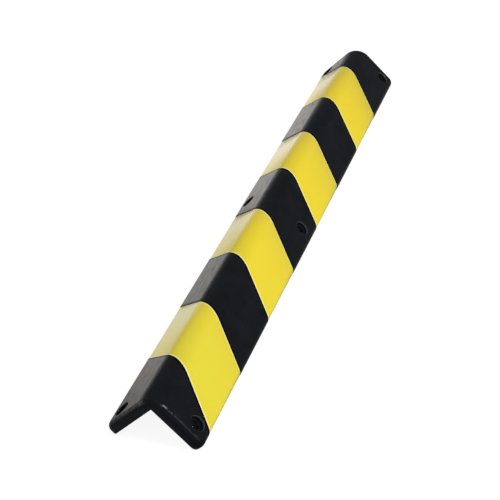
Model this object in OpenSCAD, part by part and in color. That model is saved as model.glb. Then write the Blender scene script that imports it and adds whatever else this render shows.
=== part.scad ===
// Corner guard: one moulded rubber angle with four diagonal bands of reflective tape.
// It lies as a ridge, open side down, on the inner edges of its two flanges.
// X is across the ridge, Y along the guard and Z up. The origin is at the middle
// of the footprint, on the surface that the guard lies on.

/* [Rubber angle] */
// Length of the guard
guard_len = 800; // [500:10:1200]
// Width of each flange, from the virtual outer corner to its free edge
flange_w = 75; // [60:1:120]
// Thickness of the rubber in the flanges
wall_t = 12; // [12:0.5:18]
// Outer radius of the ridge
ridge_r = 22; // [14:1:26]
// Radius of the rim round the outside of the moulding
rim_r = 7; // [3:0.5:8]
// Radius of the inner edge along the free edge of each flange
foot_r = 4.5; // [1:0.5:4.5]
// Radius of the flange corners, seen square to the flange
corner_r = 8.5; // [8.5:0.5:20]

/* [Screw holes] */
// Bore for the fixing screw
bore_d = 8.5; // [5:0.5:10]
// Diameter of the counterbore that takes the screw head
head_d = 17; // [12:0.5:20]
// Depth of the counterbore
head_depth = 4; // [3:0.5:8]
// Radius round the mouth of the counterbore
mouth_r = 1.2; // [0.5:0.1:2]
// Radius round the mouth of the bore, on the floor of the counterbore
bore_mouth_r = 0.8; // [0.3:0.1:1]
// From the free edge of the flange to the middle of the hole
hole_edge = 18.5; // [12:0.5:25]
// From the end of the guard to the middle of the end holes
hole_end = 18.5; // [12:0.5:30]
// How far each middle hole is moved along, to stay in a black band
hole_stagger = 20; // [0:1:40]

/* [Tape bands] */
// From the near end of the guard to the first band, on the ridge
band_start = 72; // [60:0.5:100]
// From the last band to the far end of the guard, on the ridge
band_end = 59; // [55:0.5:100]
// How far a band runs along the guard for each millimetre across the right flange
right_slope = 0.75; // [0.4:0.05:1]
// The same on the left flange
left_slope = 0.6; // [0.4:0.05:1]
// Depth of the moulded recess that the tape lies in
recess_depth = 0.8; // [0.4:0.1:1.5]
// Thickness of the tape
tape_t = 0.4; // [0.2:0.05:0.4]

/* [Hidden] */
$fn = 96;
rubber = "#1b1d20";
tape = "#ecd83c";

// Least flat left on the free edge between the rim and the inner edge
edge_flat = 0.5;
// Inner edge radius that leaves room for the rim
foot = min(foot_r, wall_t - rim_r - edge_flat);
// Height of the virtual outer corner over the surface the guard lies on
apex_z = (flange_w + wall_t - 2 * foot) / sqrt(2) + foot;
// Run across the outside, from the middle of the ridge to where a flange goes flat
bend_run = ridge_r * PI / 4;
// The bands and the black between them share the length evenly
band_count = 4;
band_w = (guard_len - band_start - band_end) / (2 * band_count - 1);
// Steps in which a band's edge follows the bend
bend_steps = 8;
// Steps in which the mouth of a hole is rounded
mouth_steps = 3;
// How far cutting shapes stand out past what they cut
spare = 2;
far_out = flange_w + corner_r;

// Places children drawn in the angle's own frame: X runs down the right flange from the
// virtual outer corner, -Y down the left flange, and Z to the near end.
module lay_down() {
  translate([0, 0, apex_z])
    rotate([90, 0, 0])
      rotate([0, 0, -45])
        children();
}

// Repeats what is drawn on the right flange on the left one
module both_flanges() {
  children();
  mirror([1, 1, 0]) children();
}

// Repeats what is drawn at the near end at the far one
module both_ends() {
  children();
  mirror([0, 0, 1]) children();
}

// Quarter of a disc that lies to the upper right of its middle
module quarter_disc(r) {
  intersection() {
    circle(r);
    square(r + spare);
  }
}

// Section of the moulding before its ends are rounded
module angle_section() {
  difference() {
    union() {
      translate([ridge_r, -ridge_r]) rotate(90) quarter_disc(ridge_r);
      both_flanges() {
        translate([ridge_r, -wall_t]) square([flange_w - ridge_r - rim_r, wall_t]);
        translate([flange_w - rim_r, -rim_r]) quarter_disc(rim_r);
        // free edge, below the rim
        translate([flange_w - 2 * rim_r, foot - wall_t])
          square([2 * rim_r, wall_t - foot - rim_r]);
        translate([flange_w - 2 * rim_r, -wall_t]) square([2 * rim_r - foot, foot]);
        translate([flange_w - foot, foot - wall_t]) mirror([0, 1]) quarter_disc(foot);
      }
    }
    // square inner corner that fits the corner of the wall
    translate([wall_t, -far_out - wall_t]) square(far_out);
  }
}

// Section of a layer on the outside of the moulding, from one depth to a deeper one
module skin_section(from, to) {
  translate([ridge_r, -ridge_r])
    rotate(90)
      difference() {
        quarter_disc(ridge_r - from);
        circle(ridge_r - to);
      }
  both_flanges() {
    translate([ridge_r, -to]) square([flange_w - ridge_r - rim_r, to - from]);
    translate([flange_w - rim_r, -rim_r])
      difference() {
        quarter_disc(rim_r - from);
        circle(rim_r - to);
      }
  }
}

// What the rounded rim leaves of a square outer edge, drawn with the edge at the origin
// and the material to the lower left
module rim_waste() {
  difference() {
    translate([-rim_r, -rim_r]) square(rim_r + spare);
    translate([-rim_r, -rim_r]) circle(rim_r);
  }
}

// What is cut off the near end to round its rim and the corners of its flanges
module end_waste() {
  end_z = guard_len / 2;
  // rim along the ridge
  translate([ridge_r, -ridge_r, end_z])
    rotate([0, 0, 90])
      rotate_extrude(angle = 90)
        translate([ridge_r, 0]) rim_waste();
  both_flanges() {
    // rim along the flat of the flange
    translate([ridge_r, 0, end_z])
      rotate([90, 0, 90])
        linear_extrude(flange_w - ridge_r - corner_r)
          rim_waste();
    // corner of the flange, with the rim that runs round it
    translate([flange_w - corner_r, 0, end_z - corner_r])
      rotate([90, 0, 0])
        rotate_extrude(angle = 90)
          corner_waste();
  }
}

// Section of the waste at a flange corner: its inner end follows the rim
module corner_waste() {
  difference() {
    translate([corner_r - rim_r, -spare]) square([corner_r + rim_r, wall_t + 2 * spare]);
    translate([corner_r - rim_r, rim_r]) circle(rim_r);
    translate([0, rim_r]) square([corner_r, wall_t + 2 * spare]);
  }
}

// Distance across the outside from the middle of the ridge, for a point at x
function run_at(x) =
  let (half = ridge_r / sqrt(2))
  abs(x) < half
    ? ridge_r * asin(x / ridge_r) * PI / 180
    : sign(x) * (bend_run + (abs(x) - half) * sqrt(2));

// Places across the guard at which a band's edge has a point
band_xs = concat(
  [-far_out],
  [for (i = [-bend_steps : bend_steps]) ridge_r * sin(45 * i / bend_steps)],
  [far_out]
);

// Where the near edge of a band crosses the ridge
function band_y(i) = -guard_len / 2 + band_start + 2 * i * band_w;

// How far along the guard a band's edge has run, from the ridge to a point at x
function along_at(x) = (x < 0 ? left_slope : right_slope) * run_at(x);

// Band number i seen from above, with edges that run round the ridge as a helix
module band_plan(i) {
  near_edge = [for (x = band_xs) [x, band_y(i) - along_at(x)]];
  far_edge = [for (p = near_edge) [p[0], p[1] + band_w]];
  polygon(concat(near_edge, [for (j = [len(far_edge) - 1 : -1 : 0]) far_edge[j]]));
}

// Layer on the outside of the moulding within band number i
module band_layer(i, from, to) {
  intersection() {
    lay_down()
      linear_extrude(guard_len + 2 * spare, center = true)
        skin_section(from, to);
    linear_extrude(apex_z + spare) band_plan(i);
  }
}

// Rounded mouth of a round hole, which opens at zero and runs up, in bevelled steps
module round_mouth(hole_d, r) {
  arc = [for (i = [0 : mouth_steps]) 90 * i / mouth_steps];
  round_edge = [for (a = arc) [hole_d / 2 + r * (1 - sin(a)), r * (1 - cos(a))]];
  rotate_extrude()
    polygon(concat([[0, -spare], [hole_d / 2 + r, -spare]], round_edge, [[0, r]]));
}

// Room for one screw: bore and counterbore with rounded mouths, its axis along Y
module screw_room() {
  rotate([90, 0, 0]) {
    cylinder(d = bore_d, h = wall_t + spare);
    translate([0, 0, head_depth]) round_mouth(bore_d, bore_mouth_r);
    translate([0, 0, -spare]) cylinder(d = head_d, h = head_depth + spare);
    round_mouth(head_d, mouth_r);
  }
}

// All six screw holes
module screw_rooms() {
  lay_down() {
    both_flanges() {
      both_ends()
        translate([flange_w - hole_edge, 0, guard_len / 2 - hole_end]) screw_room();
    }
    translate([flange_w - hole_edge, 0, hole_stagger]) screw_room();
    mirror([1, 1, 0])
      translate([flange_w - hole_edge, 0, -hole_stagger]) screw_room();
  }
}

// The moulded rubber angle
module rubber_guard() {
  color(rubber)
    difference() {
      lay_down()
        difference() {
          linear_extrude(guard_len, center = true) angle_section();
          both_ends() end_waste();
        }
      for (i = [0 : band_count - 1]) band_layer(i, -spare, recess_depth);
      screw_rooms();
    }
}

// One band of reflective tape in its recess
module tape_band(i) {
  color(tape)
    difference() {
      band_layer(i, recess_depth - tape_t, recess_depth);
      lay_down() both_ends() end_waste();
      screw_rooms();
    }
}

rubber_guard();
tape_band(0);  // tape_band_1
tape_band(1);  // tape_band_2
tape_band(2);  // tape_band_3
tape_band(3);  // tape_band_4
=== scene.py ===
import math

import bpy
from mathutils import Euler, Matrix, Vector


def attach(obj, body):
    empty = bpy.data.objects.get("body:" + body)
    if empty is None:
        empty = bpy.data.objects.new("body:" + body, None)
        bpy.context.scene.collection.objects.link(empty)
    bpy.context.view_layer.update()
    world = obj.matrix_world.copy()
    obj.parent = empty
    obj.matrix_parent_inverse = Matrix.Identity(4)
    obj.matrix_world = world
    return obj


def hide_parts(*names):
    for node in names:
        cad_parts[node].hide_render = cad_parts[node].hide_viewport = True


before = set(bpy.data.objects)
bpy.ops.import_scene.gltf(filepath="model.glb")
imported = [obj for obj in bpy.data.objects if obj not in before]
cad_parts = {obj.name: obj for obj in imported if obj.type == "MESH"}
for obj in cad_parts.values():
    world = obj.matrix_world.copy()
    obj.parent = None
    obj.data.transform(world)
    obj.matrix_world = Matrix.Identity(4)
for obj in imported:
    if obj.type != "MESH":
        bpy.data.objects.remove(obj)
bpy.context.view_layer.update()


# Rubber angle
# One angle of black rubber, pressed and cured hot in a blasted steel mould. It carries the
# recesses for the tape and six counterbored screw holes, and nothing is fixed to it.

MM = 0.001
GUARD_LEN = 800 * MM
FLANGE_W = 75 * MM
WALL_T = 12 * MM
RIDGE_R = 22 * MM
FOOT_R = 4.5 * MM
# height at which the outer faces of the flanges would meet in a sharp corner
APEX_Z = (FLANGE_W + WALL_T - 2 * FOOT_R) / math.sqrt(2) + FOOT_R

# screw holes: down the flange from the sharp corner, from the middle to the end ones, and
# how far each middle one stands off the middle
HOLE_DOWN = FLANGE_W - 18.5 * MM
HOLE_Y = GUARD_LEN / 2 - 18.5 * MM
HOLE_STAGGER = 20 * MM
HEAD_R = 8.5 * MM
HEAD_DEPTH = 4 * MM

# tape bands: the first starts 72 mm from the near end, the last stops 59 mm from the far
# one, both on the ridge, and the slope is millimetres along for each millimetre across
BAND_COUNT = 4
BAND_W = (GUARD_LEN - 72 * MM - 59 * MM) / (2 * BAND_COUNT - 1)
BAND_START = 72 * MM - GUARD_LEN / 2
RIGHT_SLOPE = 0.75
LEFT_SLOPE = 0.6


def linear(code):
    """Linear colour of an sRGB hex value."""
    parts = [int(code[i:i + 2], 16) / 255 for i in (1, 3, 5)]
    return [c / 12.92 if c <= 0.04045 else ((c + 0.055) / 1.055) ** 2.4 for c in parts] + [1.0]


def add(tree, kind, settings=None, **sockets):
    """Adds a node, sets its properties, and fills its inputs with values or links.

    An input goes by its name, with _ for each space, or by its number, such as _0. A node
    given for an input stands for its own first output.
    """
    node = tree.nodes.new(kind)
    for name, value in (settings or {}).items():
        setattr(node, name, value)
    for name, value in sockets.items():
        key = int(name[1:]) if name[1:].isdigit() else name.replace("_", " ")
        if isinstance(value, bpy.types.Node):
            value = value.outputs[0]
        if isinstance(value, bpy.types.NodeSocket):
            tree.links.new(value, node.inputs[key])
        else:
            node.inputs[key].default_value = value
    return node


def new_material(name):
    """An empty node material and its tree."""
    material = bpy.data.materials.new(name)
    material.use_nodes = True
    material.node_tree.nodes.clear()
    return material, material.node_tree


# Press-moulded black rubber, satin. It gives a near black with a soft sheen, which turns to
# a streaky grey shine where the flange is seen at a low angle. Painted shade lays a dull
# near-black line along each edge of the tape, and a painted highlight lays a little grey
# high on the walls of the counterbores in the right flange.
RUBBER_BLACK = "#0f1013"
RUBBER_BLOOM = "#15171b"
BLOOM_PATCH = 30 * MM
RUBBER_ROUGHNESS = (0.1, 0.28)
RUBBER_IOR = 1.3
MOULD_PEEL = 5 * MM
PEEL_DEPTH = 0.25 * MM
BLAST_GRAIN = 0.7 * MM
GRAIN_DEPTH = 0.02 * MM
# painted shade: the near-black line along each tape edge, also the glue's colour
GLUE_AND_SHADE_BLACK = "#030201"
SHADE_LINE_WIDTH = 2 * MM
LEFT_SHADE_LINE_ROUGHNESS = 0.4
RIGHT_SHADE_LINE_ROUGHNESS = 0.1
# painted highlight: a light grey arc high on the right flange's counterbore walls
PAINTED_HIGHLIGHT_GREY = "#4f5054"
PAINTED_HIGHLIGHT_REACH = 0.35 * MM
PAINTED_HIGHLIGHT_DEPTH = HEAD_DEPTH / 2

rubber, tree = new_material("moulded_black_rubber")
place = add(tree, "ShaderNodeTexCoord").outputs["Object"]
part = add(tree, "ShaderNodeSeparateXYZ", Vector=place)
on_right = add(tree, "ShaderNodeMath", {"operation": "GREATER_THAN"}, _0=part.outputs["X"], _1=0.0)

# how far each point has run across the outside, from the middle of the ridge
aside = add(tree, "ShaderNodeMath", {"operation": "ABSOLUTE"}, _0=part.outputs["X"])
bent = add(tree, "ShaderNodeMath", {"operation": "MINIMUM"}, _0=aside, _1=RIDGE_R / math.sqrt(2))
sine = add(tree, "ShaderNodeMath", {"operation": "DIVIDE"}, _0=bent, _1=RIDGE_R)
turned = add(tree, "ShaderNodeMath", {"operation": "ARCSINE"}, _0=sine)
past_bend = add(tree, "ShaderNodeMath", {"operation": "SUBTRACT"}, _0=aside, _1=bent)
flat_run = add(tree, "ShaderNodeMath", {"operation": "MULTIPLY"}, _0=past_bend, _1=math.sqrt(2))
run = add(
    tree, "ShaderNodeMath", {"operation": "MULTIPLY_ADD"}, _0=turned, _1=RIDGE_R, _2=flat_run
)

# how far it is along the guard from the nearest edge of a band, and so whether it gets the painted
# shade line
slope = add(
    tree, "ShaderNodeMath", {"operation": "MULTIPLY_ADD"},
    _0=on_right, _1=RIGHT_SLOPE + LEFT_SLOPE, _2=-LEFT_SLOPE,
)
slid = add(
    tree, "ShaderNodeMath", {"operation": "MULTIPLY_ADD"}, _0=run, _1=slope, _2=part.outputs["Y"]
)
past_start = add(tree, "ShaderNodeMath", {"operation": "SUBTRACT"}, _0=slid, _1=BAND_START)
from_first = add(
    tree, "ShaderNodeMath", {"operation": "MAXIMUM"}, _0=past_start, _1=-BAND_W / 2
)
to_last = add(
    tree, "ShaderNodeMath", {"operation": "MINIMUM"},
    _0=from_first, _1=(2 * BAND_COUNT - 0.5) * BAND_W,
)
from_band = add(tree, "ShaderNodeMath", {"operation": "PINGPONG"}, _0=to_last, _1=BAND_W / 2)
painted_shade_line = add(
    tree, "ShaderNodeMapRange", Value=from_band,
    From_Min=SHADE_LINE_WIDTH, From_Max=1.2 * SHADE_LINE_WIDTH, To_Min=1.0, To_Max=0.0,
)

# how far it is from the axis of the nearest hole, and so whether it is on a counterbore's wall
under_apex = add(tree, "ShaderNodeMath", {"operation": "SUBTRACT"}, _0=APEX_Z, _1=part.outputs["Z"])
down = add(tree, "ShaderNodeMath", {"operation": "ADD"}, _0=aside, _1=under_apex)
past_hole = add(
    tree, "ShaderNodeMath", {"operation": "MULTIPLY_ADD"},
    _0=down, _1=1 / math.sqrt(2), _2=-HOLE_DOWN,
)
from_middle = add(tree, "ShaderNodeMath", {"operation": "ABSOLUTE"}, _0=part.outputs["Y"])
past_end_hole = add(tree, "ShaderNodeMath", {"operation": "SUBTRACT"}, _0=from_middle, _1=HOLE_Y)
to_end_hole = add(tree, "ShaderNodeMath", {"operation": "ABSOLUTE"}, _0=past_end_hole)
side = add(tree, "ShaderNodeMath", {"operation": "SIGN"}, _0=part.outputs["X"])
past_middle_hole = add(
    tree, "ShaderNodeMath", {"operation": "MULTIPLY_ADD"},
    _0=part.outputs["Y"], _1=side, _2=HOLE_STAGGER,
)
to_middle_hole = add(tree, "ShaderNodeMath", {"operation": "ABSOLUTE"}, _0=past_middle_hole)
to_hole = add(tree, "ShaderNodeMath", {"operation": "MINIMUM"}, _0=to_end_hole, _1=to_middle_hole)
in_face = add(tree, "ShaderNodeCombineXYZ", X=past_hole, Y=to_hole)
from_axis = add(tree, "ShaderNodeVectorMath", {"operation": "LENGTH"}, _0=in_face)
on_wall = add(
    tree, "ShaderNodeMath", {"operation": "COMPARE"},
    _0=from_axis.outputs["Value"], _1=HEAD_R, _2=PAINTED_HIGHLIGHT_REACH,
)

# how deep it is under the flange's outer face, times the square root of two, and so whether it gets
# the painted highlight
on_right_wall = add(tree, "ShaderNodeMath", {"operation": "MULTIPLY"}, _0=on_wall, _1=on_right)
sunk = add(tree, "ShaderNodeMath", {"operation": "SUBTRACT"}, _0=under_apex, _1=aside)
painted_highlight = add(
    tree, "ShaderNodeMapRange", Value=sunk,
    From_Min=PAINTED_HIGHLIGHT_DEPTH * math.sqrt(2), From_Max=1.4 * PAINTED_HIGHLIGHT_DEPTH * math.sqrt(2),
    To_Min=on_right_wall, To_Max=0.0,
)

bloom = add(
    tree, "ShaderNodeTexNoise", Vector=place, Scale=1 / BLOOM_PATCH, Detail=4.0, Roughness=0.6
)
shade = add(tree, "ShaderNodeMapRange", Value=bloom, From_Min=0.35, From_Max=0.65)
bloomed = add(
    tree, "ShaderNodeMix", {"data_type": "RGBA"},
    _0=shade, _6=linear(RUBBER_BLACK), _7=linear(RUBBER_BLOOM),
)
# the painted shade line along the tape edges, then the painted highlight on the counterbore walls
lined = add(
    tree, "ShaderNodeMix", {"data_type": "RGBA"},
    _0=painted_shade_line, _6=bloomed.outputs[2], _7=linear(GLUE_AND_SHADE_BLACK),
)
colour = add(
    tree, "ShaderNodeMix", {"data_type": "RGBA"},
    _0=painted_highlight, _6=lined.outputs[2], _7=linear(PAINTED_HIGHLIGHT_GREY),
)

# the rubber flowed along the mould, so its waves are drawn out that way
flow = add(tree, "ShaderNodeMapping", Vector=place, Scale=(1, 0.35, 1))
peel = add(
    tree, "ShaderNodeTexNoise", Vector=flow, Scale=1 / MOULD_PEEL, Detail=3.0, Roughness=0.6
)
streaked = add(
    tree, "ShaderNodeMapRange", Value=peel,
    From_Min=0.3, From_Max=0.7, To_Min=RUBBER_ROUGHNESS[0], To_Max=RUBBER_ROUGHNESS[1],
)
# the painted shade line is smooth on the right flange, and dull on the left one
shade_line_gloss = add(
    tree, "ShaderNodeMapRange", Value=on_right,
    To_Min=LEFT_SHADE_LINE_ROUGHNESS, To_Max=RIGHT_SHADE_LINE_ROUGHNESS,
)
gloss = add(tree, "ShaderNodeMix", {"data_type": "FLOAT"}, _0=painted_shade_line, _2=streaked, _3=shade_line_gloss)
wavy = add(tree, "ShaderNodeBump", Strength=1.0, Distance=PEEL_DEPTH, Height=peel)
grain = add(
    tree, "ShaderNodeTexNoise", Vector=place, Scale=1 / BLAST_GRAIN, Detail=2.0, Roughness=0.6
)
rough = add(
    tree, "ShaderNodeBump", Strength=0.4, Distance=GRAIN_DEPTH, Height=grain, Normal=wavy
)
shader = add(
    tree, "ShaderNodeBsdfPrincipled",
    Base_Color=colour.outputs[2], Roughness=gloss, IOR=RUBBER_IOR, Normal=rough,
)
add(tree, "ShaderNodeOutputMaterial", Surface=shader)

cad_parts["rubber_guard"].material_slots[0].material = rubber


# Tape bands
# Four bands of yellow reflective film, glass beads in resin under clear acrylic. Each is
# glued into its recess, from one free edge over the ridge to the other, and the black glue
# shows as a thin line beside it, near-black as painted shade of the gap. All four follow
# one rule, so one node tree lays them.

RIM_R = 7 * MM
RECESS_DEPTH = 0.8 * MM
FILM_T = 0.4 * MM
GLUE_T = 0.25 * MM
NEAR_GAP = 0.9 * MM
FAR_GAP = 0.6 * MM
FILM_W = BAND_W - NEAR_GAP - FAR_GAP
HOLE_R = 8.9 * MM
PUNCH_LEN = 20 * MM
SOFT_EDGE = 0.1 * MM
ARC_STEPS = 14

# the film's underside across the right flange: distance down the flange, and height over it
ridge_in = RIDGE_R - RECESS_DEPTH
rim_in = RIM_R - RECESS_DEPTH
across = []
for i in range(ARC_STEPS + 1):
    turn = math.pi / 4 * (1 - i / ARC_STEPS)
    across.append((RIDGE_R - ridge_in * math.sin(turn), ridge_in * math.cos(turn) - RIDGE_R))
for i in range(ARC_STEPS + 1):
    turn = math.pi / 2 * i / ARC_STEPS
    across.append((FLANGE_W - RIM_R + rim_in * math.sin(turn), rim_in * math.cos(turn) - RIM_R))

# the same points in the row's frame, with how far they have run from the middle of the ridge
right_side = []
for down_flange, out in across:
    x = (down_flange + out) / math.sqrt(2)
    bend_x = min(x, RIDGE_R / math.sqrt(2))
    ran = RIDGE_R * math.asin(bend_x / RIDGE_R) + (x - bend_x) * math.sqrt(2)
    right_side.append((x, APEX_Z - (down_flange - out) / math.sqrt(2), ran))
outline = [(-x, z, LEFT_SLOPE * ran) for x, z, ran in reversed(right_side[1:])]
outline += [(x, z, -RIGHT_SLOPE * ran) for x, z, ran in right_side]

# a line across the guard, which carries how far the band slides along at each point. Its
# edges run backwards, so that the film has its outside out
section = bpy.data.meshes.new("film_section")
section.from_pydata(
    [(x, 0, z) for x, z, slide in outline], [(i + 1, i) for i in range(len(outline) - 1)], []
)
slides = section.attributes.new("slide", "FLOAT", "POINT")
slides.data.foreach_set("value", [slide for x, z, slide in outline])

film_tree = bpy.data.node_groups.new("film_band", "GeometryNodeTree")
film_tree.interface.new_socket("Section", in_out="INPUT", socket_type="NodeSocketGeometry")
for layer in ("Film", "Glue"):
    for name in ("near edge", "width", "thickness"):
        film_tree.interface.new_socket(
            f"{layer} {name}", in_out="INPUT", socket_type="NodeSocketFloat"
        )
    film_tree.interface.new_socket(
        f"{layer} coat", in_out="INPUT", socket_type="NodeSocketMaterial"
    )
film_tree.interface.new_socket("Hole radius", in_out="INPUT", socket_type="NodeSocketFloat")
film_tree.interface.new_socket("Hole place", in_out="INPUT", socket_type="NodeSocketVector")
film_tree.interface.new_socket("Band", in_out="OUTPUT", socket_type="NodeSocketGeometry")
given = add(film_tree, "NodeGroupInput").outputs
punch = add(
    film_tree, "GeometryNodeMeshCylinder", Vertices=64, Radius=given["Hole radius"],
    Depth=PUNCH_LEN,
)
set_punch = add(
    film_tree, "GeometryNodeTransform",
    Geometry=punch, Translation=given["Hole place"], Rotation=(0, -math.pi / 4, 0),
)
stack = add(film_tree, "GeometryNodeJoinGeometry")

for layer in ("Film", "Glue"):
    # a sheet as wide as the layer, with a map of its own: how far across it each point is
    width = add(film_tree, "ShaderNodeCombineXYZ", Y=given[f"{layer} width"])
    sheet = add(
        film_tree, "GeometryNodeExtrudeMesh", {"mode": "EDGES"},
        Mesh=given["Section"], Offset=width, Offset_Scale=1.0,
    )
    here = add(film_tree, "GeometryNodeInputPosition")
    mapped = add(
        film_tree, "GeometryNodeStoreNamedAttribute",
        {"data_type": "FLOAT2", "domain": "CORNER"},
        Geometry=sheet, Name="film_map", Value=here,
    )
    # slid along the guard, so that it runs round the ridge as a helix
    slide = add(
        film_tree, "GeometryNodeInputNamedAttribute", {"data_type": "FLOAT"}, Name="slide"
    )
    along = add(
        film_tree, "ShaderNodeMath", {"operation": "ADD"},
        _0=given[f"{layer} near edge"], _1=slide,
    )
    shift = add(film_tree, "ShaderNodeCombineXYZ", Y=along)
    laid = add(film_tree, "GeometryNodeSetPosition", Geometry=mapped, Offset=shift)
    # given its thickness, and closed underneath
    face = add(
        film_tree, "GeometryNodeExtrudeMesh", {"mode": "FACES"},
        Mesh=laid, Offset_Scale=given[f"{layer} thickness"], Individual=False,
    )
    under = add(film_tree, "GeometryNodeFlipFaces", Mesh=laid)
    both = add(film_tree, "GeometryNodeJoinGeometry", Geometry=face)
    film_tree.links.new(under.outputs[0], both.inputs[0])
    closed = add(
        film_tree, "GeometryNodeMergeByDistance", Geometry=both, Distance=0.001 * MM
    )
    # cut round the mouth of the screw hole that it meets
    cut = add(
        film_tree, "GeometryNodeMeshBoolean", {"operation": "DIFFERENCE", "solver": "EXACT"},
        Mesh_1=closed, Mesh_2=set_punch,
    )
    real = add(film_tree, "GeometryNodeRealizeInstances", Geometry=cut)
    coated = add(
        film_tree, "GeometryNodeSetMaterial", Geometry=real, Material=given[f"{layer} coat"]
    )
    film_tree.links.new(coated.outputs[0], stack.inputs[0])
add(film_tree, "NodeGroupOutput", Band=stack)

# Beaded reflective film, clear faced. It gives a clean lemon yellow with a fine grain, which
# painted light falloff makes a little deeper towards the far end. It goes pale where it is
# seen at a low angle, and a painted highlight draws a cream line along each cut edge.
TAPE_LEMON = "#dfd43a"
TAPE_YELLOW = "#ead22c"
WASH_PATCH = 40 * MM
# painted highlight: a cream line along each cut edge of the film
TAPE_EDGE_HIGHLIGHT = "#f8f2a6"
EDGE_HIGHLIGHT_SPAN = (1.2 * MM, 2.0 * MM)
TAPE_ROUGHNESS = 0.22
TAPE_IOR = 1.4
BEAD = 0.8 * MM
BEAD_DEPTH = 0.02 * MM

film, tree = new_material("yellow_reflective_film")
place = add(tree, "ShaderNodeTexCoord").outputs["Object"]
wash = add(
    tree, "ShaderNodeTexNoise", Vector=place, Scale=1 / WASH_PATCH, Detail=3.0, Roughness=0.5
)
part = add(tree, "ShaderNodeSeparateXYZ", Vector=place)
# painted light falloff: the yellow deepens towards the far end, mixed with the random wash
painted_falloff = add(
    tree, "ShaderNodeMapRange", Value=part.outputs["Y"],
    From_Min=-0.4, From_Max=0.1, To_Min=-0.25, To_Max=0.75,
)
wash_and_falloff = add(tree, "ShaderNodeMath", {"operation": "ADD", "use_clamp": True}, _0=painted_falloff, _1=wash)
yellow = add(
    tree, "ShaderNodeMix", {"data_type": "RGBA"},
    _0=wash_and_falloff, _6=linear(TAPE_LEMON), _7=linear(TAPE_YELLOW),
)
own_map = add(tree, "ShaderNodeUVMap", {"uv_map": "film_map"})
own_place = add(tree, "ShaderNodeSeparateXYZ", Vector=own_map)
from_edge = add(
    tree, "ShaderNodeMath", {"operation": "PINGPONG"}, _0=own_place.outputs["Y"], _1=FILM_W / 2
)
inside = add(
    tree, "ShaderNodeMapRange", Value=from_edge, From_Min=EDGE_HIGHLIGHT_SPAN[0], From_Max=EDGE_HIGHLIGHT_SPAN[1]
)
# the painted edge highlight over the yellow
colour = add(
    tree, "ShaderNodeMix", {"data_type": "RGBA"},
    _0=inside, _6=linear(TAPE_EDGE_HIGHLIGHT), _7=yellow.outputs[2],
)
# the real beads are about 0.06 mm across: they are drawn coarser, so that they show
beads = add(tree, "ShaderNodeTexVoronoi", Vector=place, Scale=1 / BEAD)
beaded = add(
    tree, "ShaderNodeBump", Strength=0.3, Distance=BEAD_DEPTH, Height=beads.outputs["Distance"]
)
shader = add(
    tree, "ShaderNodeBsdfPrincipled",
    Base_Color=colour.outputs[2], Roughness=TAPE_ROUGHNESS, IOR=TAPE_IOR, Normal=beaded,
    Coat_Weight=0.75, Coat_Roughness=0.15,
)
add(tree, "ShaderNodeOutputMaterial", Surface=shader)

# Black contact glue, brushed on and dry. It gives a dull line, darker than the rubber, and
# its near black is partly painted shade of the gap beside the film.
GLUE_GRAIN = 0.6 * MM
CRUMB_DEPTH = 0.05 * MM

glue, tree = new_material("dull_black_glue_and_painted_shade")
place = add(tree, "ShaderNodeTexCoord").outputs["Object"]
crumbs = add(tree, "ShaderNodeTexNoise", Vector=place, Scale=1 / GLUE_GRAIN, Detail=2.0)
crumbly = add(tree, "ShaderNodeBump", Strength=0.5, Distance=CRUMB_DEPTH, Height=crumbs)
shader = add(
    tree, "ShaderNodeBsdfPrincipled",
    Base_Color=linear(GLUE_AND_SHADE_BLACK), Roughness=0.9, IOR=1.2, Normal=crumbly,
)
add(tree, "ShaderNodeOutputMaterial", Surface=shader)

for i in range(BAND_COUNT):
    blank = bpy.data.objects.new(f"film_blank_{i + 1}", section)
    bpy.context.scene.collection.objects.link(blank)
    laying = blank.modifiers.new("film_band", "NODES")
    laying.node_group = film_tree
    recess_edge = BAND_START + 2 * i * BAND_W
    sizes = {
        "Film near edge": recess_edge + NEAR_GAP,
        "Film width": FILM_W,
        "Film thickness": FILM_T,
        "Film coat": film,
        "Glue near edge": recess_edge,
        "Glue width": BAND_W,
        "Glue thickness": GLUE_T,
        "Glue coat": glue,
        "Hole radius": HOLE_R,
        "Hole place": (-HOLE_DOWN / math.sqrt(2), HOLE_Y, APEX_Z - HOLE_DOWN / math.sqrt(2)),
    }
    for item in film_tree.interface.items_tree:
        if item.name in sizes:
            laying[item.identifier] = sizes[item.name]
    softened = blank.modifiers.new("cut_edge", "BEVEL")
    softened.width = SOFT_EDGE
    softened.segments = 2
    softened.limit_method = "ANGLE"
    softened.angle_limit = math.radians(50)
    view = bpy.context.evaluated_depsgraph_get()
    plain = bpy.data.meshes.new_from_object(blank.evaluated_get(view))
    bpy.data.objects.remove(blank)
    plain.shade_smooth()
    plain.set_sharp_from_angle(angle=math.radians(35))
    band = bpy.data.objects.new(f"film_{i + 1}", plain)
    bpy.context.scene.collection.objects.link(band)
    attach(band, "root")
    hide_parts(f"tape_band_{i + 1}")


# Floor
# A wide sheet of white paper that the guard lies on, with the guard's soft shadow. For shiny
# surfaces the paper itself glows: bright as a lit board beside the guard's left flange, and
# darker in front of it and to its right, as in a studio.

FLOOR_HALF = 12.0
PAPER_WHITE = "#f4f4f4"
PAPER_LEVEL = 1.13
BOARD_TINT = "#fffbf5"

floor_mesh = bpy.data.meshes.new("floor")
floor_mesh.from_pydata(
    [(x * FLOOR_HALF, y * FLOOR_HALF, 0) for x, y in ((-1, -1), (1, -1), (1, 1), (-1, 1))],
    [], [(0, 1, 2, 3)],
)
floor = bpy.data.objects.new("floor", floor_mesh)
bpy.context.scene.collection.objects.link(floor)

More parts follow.
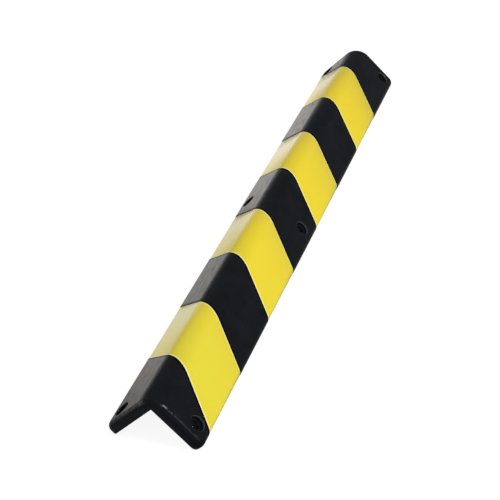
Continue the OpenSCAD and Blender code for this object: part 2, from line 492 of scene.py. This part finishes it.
# White paper, matt. It gives an even white, in which only the guard's own shadow shows.
paper, tree = new_material("white_paper_sweep")
rays = add(tree, "ShaderNodeLightPath")
place = add(tree, "ShaderNodeTexCoord").outputs["Object"]
part = add(tree, "ShaderNodeSeparateXYZ", Vector=place)
board = 1.0
for axis, start, end, before, past in (
    ("Y", -0.47, -0.22, 0.2, 0.75),
    ("Y", 0.02, 0.14, 1.0, 1.3),
    ("Y", 0.36, 0.52, 1.0, 0.8),
    ("X", -0.15, -0.09, 0.6, 1.0),
    ("X", 0.0, 0.06, 1.0, 0.2),
):
    fading = add(
        tree, "ShaderNodeMapRange", {"interpolation_type": "SMOOTHSTEP"},
        Value=part.outputs[axis], From_Min=start, From_Max=end, To_Min=before, To_Max=past,
    )
    board = add(tree, "ShaderNodeMath", {"operation": "MULTIPLY"}, _0=board, _1=fading)
level = add(
    tree, "ShaderNodeMix", {"data_type": "FLOAT"},
    _0=rays.outputs["Is Glossy Ray"], _2=PAPER_LEVEL, _3=board,
)
tint = add(
    tree, "ShaderNodeMix", {"data_type": "RGBA"},
    _0=rays.outputs["Is Glossy Ray"], _6=(1, 1, 1, 1), _7=linear(BOARD_TINT),
)
glow = add(tree, "ShaderNodeEmission", Color=tint.outputs[2], Strength=level)
matt = add(tree, "ShaderNodeBsdfDiffuse", Color=linear(PAPER_WHITE))
# the camera sees four parts of even white to one of paper under the lamps
lit_share = add(
    tree, "ShaderNodeMath", {"operation": "MULTIPLY_ADD"},
    _0=rays.outputs["Is Camera Ray"], _1=0.8, _2=rays.outputs["Is Glossy Ray"],
)
mixed = add(tree, "ShaderNodeMixShader", _0=lit_share, _1=matt, _2=glow)
add(tree, "ShaderNodeOutputMaterial", Surface=mixed)
floor_mesh.materials.append(paper)


# Light
# Even light from a white room, one large soft box over the right flange, and three weak
# ones: a small one draws a thin line along the near rim, a long low one lights the left
# flange, and one low behind softens the turn from the left flange to the ridge.

ROOM_LEVEL = 0.52
ROOM_IN_GLOSS = 0.14
ROOM_TINT = "#f2f9ff"

world = bpy.data.worlds.new("studio")
world.use_nodes = True
tree = world.node_tree
tree.nodes.clear()
rays = add(tree, "ShaderNodeLightPath")
room = add(tree, "ShaderNodeBackground", Color=(1, 1, 1, 1), Strength=ROOM_LEVEL)
mirrored = add(tree, "ShaderNodeBackground", Color=linear(ROOM_TINT), Strength=ROOM_IN_GLOSS)
seen_white = add(tree, "ShaderNodeBackground", Color=(1, 1, 1, 1), Strength=1.0)
in_gloss = add(
    tree, "ShaderNodeMixShader", _0=rays.outputs["Is Glossy Ray"], _1=room, _2=mirrored
)
in_view = add(
    tree, "ShaderNodeMixShader", _0=rays.outputs["Is Camera Ray"], _1=in_gloss, _2=seen_white
)
add(tree, "ShaderNodeOutputWorld", Surface=in_view)
bpy.context.scene.world = world

# each lamp: the way to it from the middle of the guard, how far it is, its size and its power
for name, direction, distance, size, power in (
    ("key_light", (0.66, -0.1, 0.74), 2.6, (1.0, 1.0), 38.8),
    ("rim_light", (0.84, -0.3, 0.45), 2.2, (0.4, 0.4), 0.8),
    ("left_light", (-0.95, -0.2, 0.25), 1.6, (1.8, 0.7), 5.5),
    ("rear_light", (-0.45, 0.89, 0.07), 3.0, (1.4, 0.45), 0.4),
):
    data = bpy.data.lights.new(name, "AREA")
    data.shape = "RECTANGLE"
    data.size, data.size_y = size
    data.energy = power
    lamp = bpy.data.objects.new(name, data)
    towards = Vector(direction).normalized()
    lamp.location = towards * distance
    lamp.rotation_euler = towards.to_track_quat("Z", "Y").to_euler()
    bpy.context.scene.collection.objects.link(lamp)


# Camera
# It looks down along the guard from beyond its near end, a little to the right of it, with
# a long lens, and is tipped slightly to one side.

IMAGE_PX = 500
FOCAL_PX = 1382.45
camera_data = bpy.data.cameras.new("camera")
camera_data.sensor_width = 36
camera_data.lens = FOCAL_PX / IMAGE_PX * camera_data.sensor_width
camera_data.clip_end = 50
camera = bpy.data.objects.new("camera", camera_data)
camera.location = (0.43644, -1.32798, 0.90462)
camera.rotation_euler = Euler([math.radians(a) for a in (56.2009, 2.0735, 18.1021)])
bpy.context.scene.collection.objects.link(camera)
bpy.context.scene.camera = camera
bpy.context.scene.view_settings.view_transform = "Standard"
